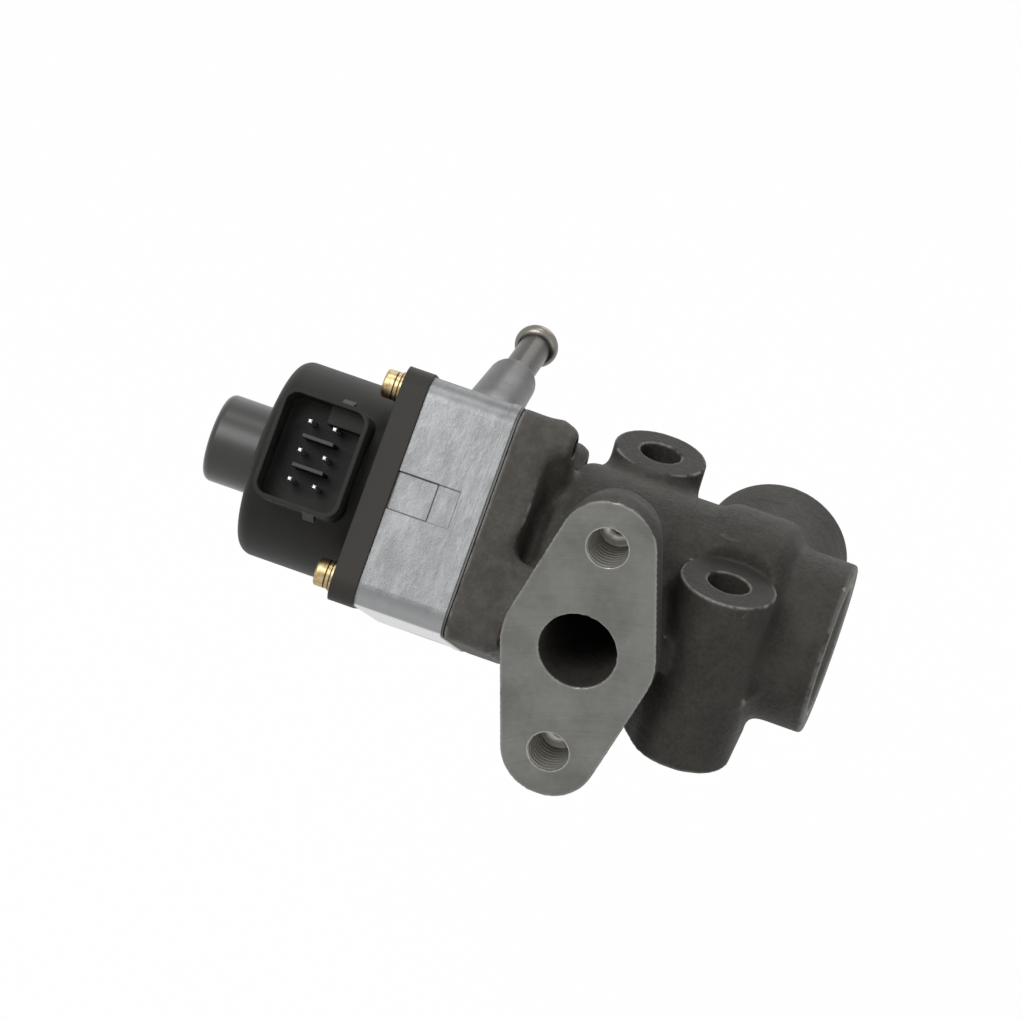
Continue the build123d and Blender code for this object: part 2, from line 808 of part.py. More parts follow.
# Motor housing: flange, can, nose and connector in one moulding
with BuildPart() as motor_housing:
    with BuildSketch(across(can_front_x, clocked=True)):
        Circle(motor_flange_radius)
        with Locations(*screw_corners):
            Circle(motor_ear_radius)
        make_hull()
    extrude(amount=motor_flange_thickness)
    with BuildSketch(lengthwise):
        with BuildLine():
            can = FilletPolyline(
                (can_front_x, motor_can_radius),
                (can_rear_x, motor_can_radius),
                (can_rear_x, nose_radius),
                (nose_end_x, nose_radius),
                (nose_end_x, 0),
                radius=[motor_can_round, nose_root_round, nose_round],
            )
            Line(can @ 1, (can_front_x, 0))
            Line((can_front_x, 0), can @ 0)
        make_face()
    revolve(axis=valve_axis)

    # Connector shell, with a latch ramp on each outer side
    with BuildSketch(block_front(connector_foot)):
        with Locations((connector_x, connector_offset)):
            RectangleRounded(connector_width, connector_depth, connector_corner)
    extrude(amount=connector_height - connector_foot)
    ramp_x = connector_x + latch_shift
    ramp_plane = Plane(
        origin=block_front(0).from_local_coords((ramp_x - latch_width / 2, 0, 0)),
        x_dir=block_front(0).y_dir,
        z_dir=(1, 0, 0),
    )
    ramp_top = connector_height - latch_recess
    for side in (-1, 1):
        wall = connector_offset + side * connector_depth / 2
        with BuildSketch(ramp_plane):
            with BuildLine():
                Polyline(
                    (wall - side * connector_wall / 2, ramp_top),
                    (wall + side * latch_height, ramp_top - latch_length),
                    (wall - side * connector_wall / 2, ramp_top - latch_length),
                    close=True,
                )
            make_face()
        extrude(amount=latch_width)

    # Socket with its key and ribs
    with BuildSketch(block_front(connector_floor)):
        with Locations((connector_x, connector_offset)):
            RectangleRounded(
                connector_width - 2 * connector_wall,
                connector_depth - 2 * connector_wall,
                connector_corner - connector_wall,
            )
    extrude(amount=connector_height - connector_floor, mode=Mode.SUBTRACT)
    with BuildSketch(block_front(connector_floor)):
        with Locations((connector_x, connector_offset)):
            with GridLocations(0, pin_pitch_y, 1, 2):
                Rectangle(rib_length, rib_thickness)
    extrude(amount=connector_height - rib_recess - connector_floor)
    with BuildSketch(block_front(connector_floor)):
        inner_right = connector_x + connector_width / 2 - connector_wall
        inner_top = connector_offset + connector_depth / 2 - connector_wall
        with Locations((inner_right - key_width / 2, inner_top - key_depth / 2)):
            Rectangle(key_width, key_depth)
    extrude(amount=connector_height - key_recess - connector_floor)

    # Bore of the can, pocket of the rear bush, room for the screw shaft in the nose
    with BuildSketch(across(stator_rear_x)):
        Circle(can_bore_radius)
    extrude(amount=motor_face_x - stator_rear_x, mode=Mode.SUBTRACT)
    with BuildSketch(across(rear_bush_end_x)):
        Circle(rear_bush_radius)
    extrude(amount=rear_bush_length, mode=Mode.SUBTRACT)
    with BuildSketch(across(nose_end_x + nose_end_wall)):
        Circle(nose_bore_radius)
    extrude(amount=rear_bush_end_x - nose_end_x - nose_end_wall, mode=Mode.SUBTRACT)

    # Screw holes and the passages of the terminals
    with BuildSketch(across(can_front_x, clocked=True)):
        with Locations(*screw_corners):
            Circle(screw_hole_radius)
    extrude(amount=motor_flange_thickness, mode=Mode.SUBTRACT)
    with BuildSketch(block_front(connector_floor - pin_foot)):
        with Locations((connector_x, connector_offset)):
            with GridLocations(pin_pitch_x, pin_pitch_y, 2, 3):
                Rectangle(pin_width, pin_width)
    extrude(amount=pin_foot, mode=Mode.SUBTRACT)
motor_housing.part.label = "motor_housing"
export_step(motor_housing.part, "parts/motor_housing.step")

with BuildPart() as connector_pins:
    with BuildSketch(block_front(connector_floor - pin_foot)):
        with Locations((connector_x, connector_offset)):
            with GridLocations(pin_pitch_x, pin_pitch_y, 2, 3):
                Rectangle(pin_width, pin_width)
    extrude(amount=connector_height - pin_recess - connector_floor + pin_foot)
    chamfer(faces().sort_by(Axis(block_front(0).origin, block_front(0).z_dir))[-6:].edges(), pin_edge_break)
connector_pins.part.label = "connector_pins"
export_step(connector_pins.part, "parts/connector_pins.step")

# Front plate of the motor: holds the front bearing and keeps the screw shaft from turning
bearing_end_x = stator_front_x - bearing_width
with BuildPart() as front_plate:
    with BuildSketch(across(stator_front_x)):
        Circle(can_bore_radius)
    extrude(amount=front_plate_thickness)
    with BuildSketch(across(bearing_end_x)):
        Circle(bearing_radius + bearing_boss_wall)
        Circle(bearing_radius, mode=Mode.SUBTRACT)
    extrude(amount=bearing_width)
    with BuildSketch(across(stator_front_x)):
        Circle(screw_shaft_radius + stem_clearance)
        Rectangle(2 * can_bore_radius, 2 * (screw_flat + stem_clearance), mode=Mode.INTERSECT)
    extrude(amount=front_plate_thickness, mode=Mode.SUBTRACT)
front_plate.part.label = "front_plate"
export_step(front_plate.part, "parts/front_plate.step")

# Front ball bearing
ball_circle = (bearing_radius + bearing_bore_radius) / 2
race_radius = ball_radius + ball_play
race_centre = (bearing_end_x + bearing_width / 2, ball_circle)
with BuildPart() as bearing_outer_ring:
    with BuildSketch(across(bearing_end_x)):
        Circle(bearing_radius)
        Circle(bearing_radius - bearing_ring_thickness, mode=Mode.SUBTRACT)
    extrude(amount=bearing_width)
    with BuildSketch(lengthwise):
        with Locations(race_centre):
            Circle(race_radius)
    revolve(axis=valve_axis, mode=Mode.SUBTRACT)
bearing_outer_ring.part.label = "bearing_outer_ring"
export_step(bearing_outer_ring.part, "parts/bearing_outer_ring.step")

with BuildPart() as bearing_inner_ring:
    with BuildSketch(across(bearing_end_x)):
        Circle(bearing_bore_radius + bearing_ring_thickness)
        Circle(bearing_bore_radius, mode=Mode.SUBTRACT)
    extrude(amount=bearing_width)
    with BuildSketch(lengthwise):
        with Locations(race_centre):
            Circle(race_radius)
    revolve(axis=valve_axis, mode=Mode.SUBTRACT)
bearing_inner_ring.part.label = "bearing_inner_ring"
export_step(bearing_inner_ring.part, "parts/bearing_inner_ring.step")

with BuildPart() as bearing_balls:
    with Locations(across(race_centre[0])):
        with PolarLocations(ball_circle, ball_count):
            Sphere(ball_radius)
bearing_balls.part.label = "bearing_balls"
export_step(bearing_balls.part, "parts/bearing_balls.step")

with BuildPart() as rear_bush:
    with BuildSketch(across(rear_bush_end_x)):
        Circle(rear_bush_radius)
        Circle(bearing_bore_radius + stem_clearance, mode=Mode.SUBTRACT)
    extrude(amount=rear_bush_length)
rear_bush.part.label = "rear_bush"
export_step(rear_bush.part, "parts/rear_bush.step")

# Stator: two stacks, each of a cup, a cover, a bobbin and a winding
stack_length = stator_stack / 2
pole_radius = magnet_radius + air_gap
pole_length = stack_length - 2 * yoke_sheet - pole_clearance
bobbin_length = stack_length - 2 * yoke_sheet
bobbin_inner = pole_radius + yoke_sheet + bobbin_play
bobbin_outer = yoke_radius - yoke_sheet


def yoke(end_wall_x, poles_x, turn, wall_length):
    """Half of a stack's iron: an end wall with pole teeth, and an outer wall if it has a length."""
    with BuildPart() as iron:
        with BuildSketch(across(end_wall_x)):
            Circle(yoke_radius)
            Circle(pole_radius, mode=Mode.SUBTRACT)
        extrude(amount=yoke_sheet)
        with BuildSketch(across(poles_x)):
            with PolarLocations(pole_radius + yoke_sheet / 2, pole_count, start_angle=turn):
                Rectangle(2 * yoke_sheet, pole_width)
            Circle(pole_radius + yoke_sheet, mode=Mode.INTERSECT)
            Circle(pole_radius, mode=Mode.SUBTRACT)
        extrude(amount=pole_length)
        if wall_length:
            with BuildSketch(across(end_wall_x + yoke_sheet)):
                Circle(yoke_radius)
                Circle(bobbin_outer, mode=Mode.SUBTRACT)
            extrude(amount=wall_length)
    return iron.part


def bobbin(start):
    """Plastic coil former with a flange at each end."""
    with BuildPart() as former:
        with BuildSketch(across(start)):
            Circle(bobbin_outer)
            Circle(bobbin_inner, mode=Mode.SUBTRACT)
        extrude(amount=bobbin_length)
        with BuildSketch(across(start + bobbin_wall)):
            Circle(bobbin_outer)
            Circle(bobbin_inner + bobbin_wall, mode=Mode.SUBTRACT)
        extrude(amount=bobbin_length - 2 * bobbin_wall, mode=Mode.SUBTRACT)
    return former.part


def winding(start):
    """Copper winding between the former's flanges."""
    with BuildPart() as copper:
        with BuildSketch(across(start + bobbin_wall)):
            Circle(bobbin_outer - winding_inset)
            Circle(bobbin_inner + bobbin_wall, mode=Mode.SUBTRACT)
        extrude(amount=bobbin_length - 2 * bobbin_wall)
    return copper.part


for place, start in (("rear", stator_rear_x), ("front", stator_rear_x + stack_length)):
    inside = start + yoke_sheet
    cover_x = start + stack_length - yoke_sheet
    stack = {
        "stator_cup": yoke(start, inside, 0, bobbin_length),
        "stator_cover": yoke(cover_x, cover_x - pole_length, 180 / pole_count, 0),
        "bobbin": bobbin(inside),
        "winding": winding(inside),
    }
    for piece, solid in stack.items():
        solid.label = f"{place}_{piece}"
        export_step(solid, f"parts/{place}_{piece}.step")

# Rotor: magnet ring on a threaded hub that runs in the bearing and in the rear bush
hub_front_x = stator_front_x - rotor_play
hub_rear_x = rear_bush_end_x + rotor_play
with BuildPart() as rotor_hub:
    with BuildSketch(lengthwise):
        with BuildLine():
            bore = screw_shaft_radius + thread_clearance
            Polyline(
                (hub_rear_x, bore),
                (hub_rear_x, bearing_bore_radius),
                (stator_rear_x + rotor_play, bearing_bore_radius),
                (stator_rear_x + rotor_play, hub_radius),
                (bearing_end_x - rotor_play, hub_radius),
                (bearing_end_x - rotor_play, bearing_bore_radius + bearing_ring_thickness),
                (bearing_end_x, bearing_bore_radius + bearing_ring_thickness),
                (bearing_end_x, bearing_bore_radius),
                (hub_front_x, bearing_bore_radius),
                (hub_front_x, bore),
                close=True,
            )
        make_face()
    revolve(axis=valve_axis)
rotor_hub.part.label = "rotor_hub"
export_step(rotor_hub.part, "parts/rotor_hub.step")

with BuildPart() as rotor_magnet:
    magnet_middle = (bearing_end_x + stator_rear_x) / 2
    with BuildSketch(across(magnet_middle - magnet_length / 2)):
        Circle(magnet_radius)
        Circle(hub_radius, mode=Mode.SUBTRACT)
    extrude(amount=magnet_length)
rotor_magnet.part.label = "rotor_magnet"
export_step(rotor_magnet.part, "parts/rotor_magnet.step")

# Screw shaft: moves along the axis, kept from turning by its two flats
with BuildPart() as screw_shaft:
    with BuildSketch(across(screw_nose_x - screw_shaft_length)):
        Circle(screw_shaft_radius)
    extrude(amount=screw_shaft_length)
    chamfer(edges().filter_by(GeomType.CIRCLE), screw_edge_break)
    for side in (-1, 1):
        with BuildSketch(across(screw_nose_x - screw_flat_length)):
            with Locations((0, side * (screw_flat + screw_shaft_radius / 2))):
                Rectangle(2 * screw_shaft_radius, screw_shaft_radius)
        extrude(amount=screw_flat_length, mode=Mode.SUBTRACT)
screw_shaft.part.label = "screw_shaft"
export_step(screw_shaft.part, "parts/screw_shaft.step")
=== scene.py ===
"""Exhaust gas recirculation valve, dressed for its portrait: castings, moulding, plated screws."""

import json
from math import cos, pi, radians, sin

import bmesh
import bpy
from mathutils import Matrix, Vector
from mathutils.kdtree import KDTree


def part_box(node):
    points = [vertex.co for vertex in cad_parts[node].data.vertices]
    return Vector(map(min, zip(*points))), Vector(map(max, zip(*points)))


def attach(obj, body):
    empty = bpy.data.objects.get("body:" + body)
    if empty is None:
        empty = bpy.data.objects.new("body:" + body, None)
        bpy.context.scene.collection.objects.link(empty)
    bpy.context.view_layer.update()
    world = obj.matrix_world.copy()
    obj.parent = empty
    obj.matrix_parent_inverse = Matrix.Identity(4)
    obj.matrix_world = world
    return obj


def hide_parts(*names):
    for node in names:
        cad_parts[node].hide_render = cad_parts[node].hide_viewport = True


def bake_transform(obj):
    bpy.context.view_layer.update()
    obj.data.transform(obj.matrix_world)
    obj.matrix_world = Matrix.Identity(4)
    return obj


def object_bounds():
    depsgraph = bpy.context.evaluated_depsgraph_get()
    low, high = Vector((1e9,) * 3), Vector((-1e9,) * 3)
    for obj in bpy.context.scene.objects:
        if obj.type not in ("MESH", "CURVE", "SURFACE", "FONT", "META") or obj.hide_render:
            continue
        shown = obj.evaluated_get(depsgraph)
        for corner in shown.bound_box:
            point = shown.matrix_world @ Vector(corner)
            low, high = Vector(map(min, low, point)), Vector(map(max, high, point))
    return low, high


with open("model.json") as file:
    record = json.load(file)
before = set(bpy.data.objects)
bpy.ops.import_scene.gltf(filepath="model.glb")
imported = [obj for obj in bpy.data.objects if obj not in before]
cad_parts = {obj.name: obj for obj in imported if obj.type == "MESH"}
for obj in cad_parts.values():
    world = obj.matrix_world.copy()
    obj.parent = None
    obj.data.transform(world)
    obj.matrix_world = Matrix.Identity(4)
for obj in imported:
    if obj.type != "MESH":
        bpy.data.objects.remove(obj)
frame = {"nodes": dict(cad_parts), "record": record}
cad_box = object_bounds()
nodes = frame["nodes"]
mounts = {mount["name"]: mount for mount in frame["record"]["mounts"]}
MM = 0.001

# Places read from the frame
BODY_LOW, BODY_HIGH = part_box("valve_body")
SPACER_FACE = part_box("cooling_spacer")[0].x
AXIS_HEIGHT = mounts["inlet_bolts"]["pos_m"][2]
INLET_X = mounts["inlet_bolts"]["pos_m"][0]
INLET_FACE = BODY_LOW.y
BOLT_SPREAD = mounts["inlet_bolts"]["dims"]["spacing_y_mm"] * MM / 2
INLET_BOLTS = (AXIS_HEIGHT - BOLT_SPREAD, AXIS_HEIGHT + BOLT_SPREAD)
TAPPED_RADIUS = mounts["inlet_bolts"]["dims"]["hole_r_mm"] * MM
BOLT_RADIUS = mounts["mount_bolts"]["dims"]["hole_r_mm"] * MM
PATTERN_X = mounts["mount_bolts"]["pos_m"][0]
END_RADIUS = (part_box("end_core_plug")[1].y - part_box("end_core_plug")[0].y) / 2
PIPE_X = mounts["coolant_inlet"]["pos_m"][0]
PIPES = (mounts["coolant_inlet"]["pos_m"][2], mounts["coolant_outlet"]["pos_m"][2])
PIPE_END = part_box("coolant_inlet_pipe")[1].y

# Places and sizes of the solids that the frame doesn't state
BOLT_HALF_X = 12.8 * MM
BOLT_HALF_Y = 20.0 * MM
MOUNT_BOLTS = ((PATTERN_X - BOLT_HALF_X, BOLT_HALF_Y), (PATTERN_X + BOLT_HALF_X, -BOLT_HALF_Y))
REAR_BOSS_TOP = 44.4 * MM
COLUMN_TOP = 40.0 * MM
MOUNT_TOPS = (REAR_BOSS_TOP, COLUMN_TOP)
TOP_REACH = 11.0 * MM
SIDE_X = 6.1 * MM
SIDE_FACE = 36.4 * MM
BASE_START_X = -35.0 * MM
BASE_START_Y = -28.4 * MM
BEAD_LENGTH = 4.0 * MM
PIPE_BOSS_RADIUS = 6.9 * MM
NOSE_ROOT_X = -100.5 * MM
MOTOR_FLANGE = 5.5 * MM

# Connector, block and pads in the turned square of the block: heights from the valve axis, ends along X
RIB_TOP = -26.8 * MM
KEY_TOP = -25.2 * MM
BLOCK_FRONT = -23.6 * MM
BLOCK_FOOT = -24.9 * MM
PAD_HALF_WIDTH = 4.1 * MM
PAD_END = SPACER_FACE + 8.9 * MM
SMALL_PAD_END = SPACER_FACE + 13.8 * MM

# Threads of the tapped holes and of the screws, and where the screws' tips show
TAPPED_PITCH = 1.25 * MM
SCREW_PITCH = 0.7 * MM
TIP_START = -42.0 * MM
TIP_END = -37.6 * MM

# Marks on the casting: the middle of the cutter's arcs and of the handling scuffs, as X and Z
CUTTER_CENTRE = (INLET_X + 25.0 * MM, AXIS_HEIGHT - 75.0 * MM)
SCUFF_CENTRE = (9.5 * MM, 39.0 * MM)

# Places of the three long screws across the valve axis
CLOCK = radians(30.0)
SCREW_REACH = 21.0 * MM
SCREWS = [
    (y * cos(CLOCK) + z * sin(CLOCK), AXIS_HEIGHT - y * sin(CLOCK) + z * cos(CLOCK))
    for y, z in ((-SCREW_REACH, SCREW_REACH), (-SCREW_REACH, -SCREW_REACH), (SCREW_REACH, SCREW_REACH))
]

# Fillets of the casting: radii in millimetres of the rods along its inner corners
WEB_CORE = 3.0
BOSS_CORE = 2.4
COLUMN_CORE = 1.8
SMALL_CORE = 1.0

# Web beside the inlet's neck and pockets behind the joint plate, in millimetres: span along X, then rods
WEB_SPAN = (-12.0, -2.0)
WEB_RODS = ((-20.5, 26.0, 6.0), (-20.8, 19.0, 6.2), (-17.0, 31.0, 5.0))
POCKET_SPAN = (-41.5, -37.4)
POCKET_DEPTH = 3.1
POCKET_RADIUS = 1.7

# Reach round the gas way and the holes in which no corner gets a fillet
AXIS_WAY = 16.0 * MM
OUTLET_WAY = 9.0 * MM
SIDE_WAY = 13.0 * MM
INLET_WAY = 9.0 * MM
BOLT_WAY = 5.5 * MM
TAPPED_WAY = 5.0 * MM
SCREW_WAY = 4.2 * MM

# Mesh of the casting
VOXEL = 0.36 * MM
SMOOTHING_ROUNDS = 170
CAST_TRIANGLES = 190000
SMOOTH_ANGLE = radians(38)

# The photograph's view, and how far below the valve the floor lies
VIEW_AZIMUTH = 8.0
VIEW_ELEVATION = 26.0
VIEW_ROLL = 15.688
VIEW_DISTANCE = 1.0
VIEW_TARGET = Vector((-0.047625, 0.0, 0.029385))
FOCAL_PIXELS = 4700
FRAME_PIXELS = 1020
FLOOR_DROP = 120 * MM


def connect(tree, slot, value):
    """Links a Shade to a socket, or writes a plain value on it."""
    if isinstance(value, Shade):
        tree.links.new(value.socket, slot)
    elif isinstance(value, (tuple, list)) and len(value) == 3 and slot.type == "RGBA":
        slot.default_value = (*value, 1.0)
    else:
        slot.default_value = value


def add_node(tree, kind, inputs=None, output=0, **settings):
    """Adds one shader node: its settings first, then its inputs, and hands back one output."""
    node = tree.nodes.new(kind)
    for name, value in settings.items():
        setattr(node, name, value)
    for name, value in (inputs or {}).items():
        connect(tree, node.inputs[name], value)
    return Shade(node.outputs[output])


class Shade:
    """A value in a material: arithmetic on it adds the nodes that work it out."""

    def __init__(self, socket):
        self.socket = socket
        self.tree = socket.id_data

    def maths(self, operation, *others):
        inputs = dict(enumerate((self, *others)))
        return add_node(self.tree, "ShaderNodeMath", inputs, operation=operation)

    def __add__(self, other):
        return self.maths("ADD", other)

    def __radd__(self, other):
        return self.maths("ADD", other)

    def __sub__(self, other):
        return self.maths("SUBTRACT", other)

    def __rsub__(self, other):
        return self.maths("MULTIPLY", -1.0) + other

    def __mul__(self, other):
        return self.maths("MULTIPLY", other)

    def __pow__(self, power):
        return self.maths("POWER", power)

    def __abs__(self):
        return self.maths("ABSOLUTE")

    def within(self, inner, outer):
        """1 below inner, 0 above outer, smooth between."""
        inputs = {"Value": self, "From Min": inner, "From Max": outer, "To Min": 1.0, "To Max": 0.0}
        return add_node(self.tree, "ShaderNodeMapRange", inputs, "Result", interpolation_type="SMOOTHSTEP")

    def beyond(self, level, blend):
        """1 above level, after a smooth rise over blend metres just below it."""
        return 1 - self.within(level - blend, level)


class Finish:
    """A material under work, with the patterns that the finishes share."""

    def __init__(self, name):
        self.material = bpy.data.materials.new(name)
        self.material.use_nodes = True
        self.tree = self.material.node_tree
        self.shader = self.tree.nodes["Principled BSDF"]
        self.colour = None
        self.place = self.node("ShaderNodeTexCoord", output="Object")
        self.x, self.y, self.z = (
            self.node("ShaderNodeSeparateXYZ", {"Vector": self.place}, output=axis) for axis in "XYZ"
        )

    def node(self, kind, inputs=None, output=0, **settings):
        return add_node(self.tree, kind, inputs, output, **settings)

    def noise(self, size, detail=2.0, roughness=0.5, vector=None):
        """Noise from 0 to 1 whose blotches are about size metres across."""
        inputs = {"Vector": vector or self.place, "Scale": 1 / size, "Detail": detail, "Roughness": roughness}
        return self.node("ShaderNodeTexNoise", inputs, output="Fac")

    def stretched(self, scale):
        """Object coordinates scaled differently along the three axes."""
        return self.node("ShaderNodeMapping", {"Vector": self.place, "Scale": scale})

    def mix(self, factor, low, high):
        """Colour between low and high."""
        return self.node("ShaderNodeMix", {0: factor, 6: low, 7: high}, 2, data_type="RGBA")

    def bump(self, height, distance, normal=None):
        """Normal of a relief that is distance metres high."""
        inputs = {"Height": height, "Distance": distance}
        if normal:
            inputs["Normal"] = normal
        return self.node("ShaderNodeBump", inputs)

    def worn_edge(self, radius):
        """Normal that rounds each sharp edge of the mesh a little."""
        return self.node("ShaderNodeBevel", {"Radius": radius}, samples=6)

    def wear(self, radius):
        """1 along sharp edges, where handling has rubbed the surface, and 0 on open faces."""
        plain = self.node("ShaderNodeNewGeometry", output="Normal")
        inputs = {0: self.worn_edge(radius), 1: plain}
        likeness = self.node("ShaderNodeVectorMath", inputs, output="Value", operation="DOT_PRODUCT")
        return likeness.within(0.9, 0.992)

    def crest(self, low, high):
        """1 along the outer corners of a dense mesh, by how sharply it turns there."""
        return 1 - self.node("ShaderNodeNewGeometry", output="Pointiness").within(low, high)

    def thread(self, along, first, second, pitch):
        """Height from 0 to 1 of a screw thread round one axis, first and second counted from its centre."""
        turn = first.maths("ARCTAN2", second)
        return (along * (2 * pi / pitch) + turn).maths("SINE") * 0.5 + 0.5

    def set(self, **inputs):
        """Writes or links inputs of the surface shader, an underscore for a space, and keeps the colour."""
        for name, value in inputs.items():
            connect(self.tree, self.shader.inputs[name.replace("_", " ")], value)
        self.colour = inputs.get("Base_Color", self.colour)

    def turned(self):
        """The coordinates of the square block, which is turned about the valve axis: forward and upward."""
        height = self.z - AXIS_HEIGHT
        return self.y * cos(CLOCK) - height * sin(CLOCK), self.y * sin(CLOCK) + height * cos(CLOCK)


def plane_mask(coordinate, level, half_width):
    """1 where a coordinate is within half_width of a level."""
    return abs(coordinate - level).within(half_width, half_width * 1.6)


def reach_from(first, second, centre):
    """Distance from a centre in the plane of two coordinates."""
    return ((first - centre[0]) ** 2 + (second - centre[1]) ** 2) ** 0.5


def hole_mask(first, second, centre, radius):
    """1 inside a circle in the plane of two coordinates."""
    return reach_from(first, second, centre).within(radius, radius * 1.06)


def either(*masks):
    """Largest of several masks."""
    result = masks[0]
    for mask in masks[1:]:
        result = result.maths("MAXIMUM", mask)
    return result


def cast_iron():
    """Grainy dark casting with milled faces, arcs of the cutter on the inlet flange, and bright holes."""
    iron = Finish("cast_iron_body")
    grain = iron.noise(0.9 * MM, 4.0, 0.65)
    mottle = iron.noise(2.6 * MM, 3.0, 0.6).within(0.36, 0.64)
    swell = iron.noise(6.0 * MM, 3.0)
    tint = iron.noise(14.0 * MM, 4.0, 0.6).within(0.34, 0.66)
    speck = iron.noise(0.5 * MM, 1.0).within(0.2, 0.25)

    flange = plane_mask(iron.y, INLET_FACE, 0.16 * MM)
    tops = either(
        *(
            plane_mask(iron.z, top, 0.12 * MM) * hole_mask(iron.x, iron.y, bolt, TOP_REACH)
            for top, bolt in zip(MOUNT_TOPS, MOUNT_BOLTS)
        )
    )
    end_bore = iron.x.beyond(BODY_HIGH.x - 1.5 * MM, 2.0 * MM) * hole_mask(
        iron.y, iron.z, (0.0, AXIS_HEIGHT), END_RADIUS + 0.3 * MM
    )
    milled = either(
        flange,
        plane_mask(iron.x, BODY_HIGH.x, 0.16 * MM) * 0.4,
        iron.y.beyond(SIDE_FACE, 0.3 * MM),
        plane_mask(iron.z, 0.0, 0.12 * MM)
        * iron.x.beyond(BASE_START_X, 0.5 * MM)
        * iron.y.beyond(BASE_START_Y, 0.3 * MM),
    )
    front = iron.y.within(-27.0 * MM, -26.5 * MM)
    drilled = front * either(
        *(hole_mask(iron.x, iron.z, (INLET_X, z), TAPPED_RADIUS + 0.15 * MM) for z in INLET_BOLTS)
    )
    threads = [iron.thread(iron.y, iron.x - INLET_X, iron.z - z, TAPPED_PITCH) for z in INLET_BOLTS]
    low = iron.z.within(AXIS_HEIGHT, AXIS_HEIGHT + MM)
    thread = threads[0] * low + threads[1] * (1 - low)
    # Crests painted lighter: partly edge wear, partly painted highlight along the crests
    lighter_edges = iron.crest(0.505, 0.55) * iron.noise(5.0 * MM, 3.0).within(0.5, 0.65)

    # Arcs that the milling cutter left, about a centre below the flange
    sweep = iron.node("ShaderNodeCombineXYZ", {"X": reach_from(iron.x, iron.z, CUTTER_CENTRE)})
    arcs = iron.noise(0.6 * MM, 3.0, vector=sweep) * 0.6 + iron.noise(1.3 * MM, 3.0) * 0.4

    # Pale scuffs from handling, beside the column's top
    near = reach_from(iron.x, iron.z, SCUFF_CENTRE).within(1.5 * MM, 4.0 * MM) * front
    scuffs = near * iron.noise(0.9 * MM, 4.0, 0.8).within(0.3, 0.42)

    cast_colour = iron.mix(tint, (0.0335, 0.031, 0.027), (0.057, 0.053, 0.046))
    joint_plate = iron.x.within(BASE_START_X - MM, BASE_START_X + MM)
    cast_colour = iron.mix(joint_plate * 0.7, cast_colour, (0.115, 0.106, 0.093))
    cast_colour = iron.mix(mottle * 0.4, cast_colour, (0.0302, 0.0285, 0.0248))
    cast_colour = iron.mix(grain.within(0.38, 0.62) * 0.4, cast_colour, (0.066, 0.0625, 0.056))
    cast_colour = iron.mix(tops * 0.6, cast_colour, (0.036, 0.034, 0.031))
    cast_colour = iron.mix(speck * 0.3, cast_colour, (0.18, 0.17, 0.155))
    cast_colour = iron.mix(scuffs * 0.8, cast_colour, (0.34, 0.33, 0.31))
    milled_colour = iron.mix(arcs * 0.65 + tint * 0.35, (0.11, 0.11, 0.101), (0.26, 0.26, 0.243))
    colour = iron.mix(milled, cast_colour, milled_colour)
    colour = iron.mix(either(drilled, end_bore * 0.3), colour, (0.56, 0.55, 0.51))
    colour = iron.mix(lighter_edges * 0.8, colour, (0.33, 0.32, 0.30))

    bare = either(milled, drilled)
    rough = (grain * 0.6 + swell * 1.2) * (1 - bare) + arcs * flange * 0.12
    surface = iron.bump(rough, 0.4 * MM)
    iron.set(
        Base_Color=colour,
        Metallic=0.1 + bare * 0.6,
        Specular_IOR_Level=0.16,
        Roughness=0.53 - milled * 0.14 - drilled * 0.25 + grain * 0.12,
        Normal=iron.bump(thread * drilled, 0.14 * MM, normal=surface),
    )
    return iron


